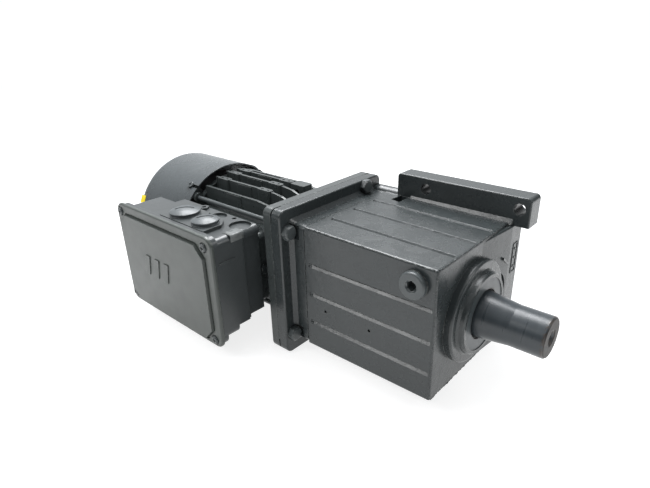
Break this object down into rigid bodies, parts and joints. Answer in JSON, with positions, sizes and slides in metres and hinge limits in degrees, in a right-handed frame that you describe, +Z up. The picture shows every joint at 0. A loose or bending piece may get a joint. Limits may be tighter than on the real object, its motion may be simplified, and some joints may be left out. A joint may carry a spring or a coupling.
{
  "type": "helical gearmotor",
  "caption": "In-line helical gearmotor lying on its side: foot-mounted gear case with tapered-shoulder output shaft, finned motor, fan cowl and terminal box.",
  "frame": {"origin": "on the output shaft axis, at the shoulder where its plain 35 mm journal starts", "axes": "+X out along the output shaft, +Y out of the foot face, +Z up with the unit lying on its side"},
  "size_m": [0.4819, 0.2105, 0.1606],
  "materials": {
    "bearing_steel": "polished",
    "board_plastic": "matte",
    "box_paint": "satin",
    "bracket_iron": "matte",
    "brass": "satin",
    "case_paint": "satin",
    "copper": "satin",
    "die_cast": "satin",
    "fan_plastic": "satin",
    "gasket_fibre": "matte",
    "gear_steel": "satin",
    "lamination": "matte",
    "lid_paint": "satin",
    "machined_steel": "satin",
    "motor_paint": "satin",
    "plug_plastic": "satin",
    "screw_paint": "satin",
    "seal_rubber": "matte",
    "shaft_paint": "satin",
    "sheet_paint": "satin",
    "spring_steel": "satin"
  },
  "bodies": {
    "housing": {"box_screws": "spring_steel", "bracket_screws": "spring_steel", "cowl_screws": "screw_paint", "drive_end_bearing_balls": "bearing_steel", "drive_end_bearing_outer_ring": "bearing_steel", "earth_screw": "brass", "entry_plugs": "plug_plastic", "fan_cowl": "sheet_paint", "fan_end_bearing_balls": "bearing_steel", "fan_end_bearing_outer_ring": "bearing_steel", "fan_end_shield": "motor_paint", "flange_gasket": "gasket_fibre", "flange_screws": "screw_paint", "gear_case": "case_paint", "inner_bearing_bracket": "bracket_iron", "intermediate_bearings_balls": "bearing_steel", "intermediate_bearings_outer_ring": "bearing_steel", "lid_screws": "screw_paint", "motor_flange": "motor_paint", "motor_shaft_seal": "seal_rubber", "oil_plug_seals": "seal_rubber", "oil_plugs": "screw_paint", "output_bearing_circlip": "spring_steel", "output_front_bearing_balls": "bearing_steel", "output_front_bearing_outer_ring": "bearing_steel", "output_rear_bearing_balls": "bearing_steel", "output_rear_bearing_outer_ring": "bearing_steel", "output_shaft_seal": "shaft_paint", "stator_core": "lamination", "stator_housing": "motor_paint", "stator_windings": "copper", "terminal_board": "board_plastic", "terminal_box": "box_paint", "terminal_box_gasket": "seal_rubber", "terminal_box_lid": "lid_paint", "terminal_links": "brass", "terminal_studs": "brass", "tie_rod_nuts": "screw_paint", "tie_rods": "screw_paint", "wave_washer": "spring_steel"},
    "rotor": {"rotor_shaft": "machined_steel", "rotor_core": "lamination", "rotor_end_rings": "die_cast", "motor_pinion": "gear_steel", "cooling_fan": "fan_plastic", "fan_circlip": "spring_steel", "drive_end_bearing_inner_ring": "bearing_steel", "fan_end_bearing_inner_ring": "bearing_steel"},
    "intermediate": {"intermediate_shaft": "gear_steel", "intermediate_gear": "gear_steel", "intermediate_circlip": "spring_steel", "intermediate_spacer": "machined_steel", "intermediate_bearings_inner_ring": "bearing_steel"},
    "output": {"output_shaft": "shaft_paint", "output_gear": "gear_steel", "output_gear_key": "machined_steel", "output_shaft_circlip": "spring_steel", "output_front_bearing_inner_ring": "bearing_steel", "output_rear_bearing_inner_ring": "bearing_steel"}
  },
  "joints": [
    {"name": "rotor_spin", "type": "hinge", "parent": "housing", "child": "rotor", "pos_m": [-0.203, 0, 0], "axis": [1, 0, 0], "continuous": true},
    {"name": "intermediate_spin", "type": "hinge", "parent": "housing", "child": "intermediate", "pos_m": [-0.113, 0.03825, 0], "axis": [1, 0, 0], "continuous": true},
    {"name": "output_spin", "type": "hinge", "parent": "housing", "child": "output", "pos_m": [0, 0, 0], "axis": [1, 0, 0], "continuous": true}
  ],
  "couplings": [
    {"joint": "intermediate_spin", "follows": "rotor_spin", "ratio": -0.30769},
    {"joint": "output_spin", "follows": "rotor_spin", "ratio": 0.084615}
  ]
}
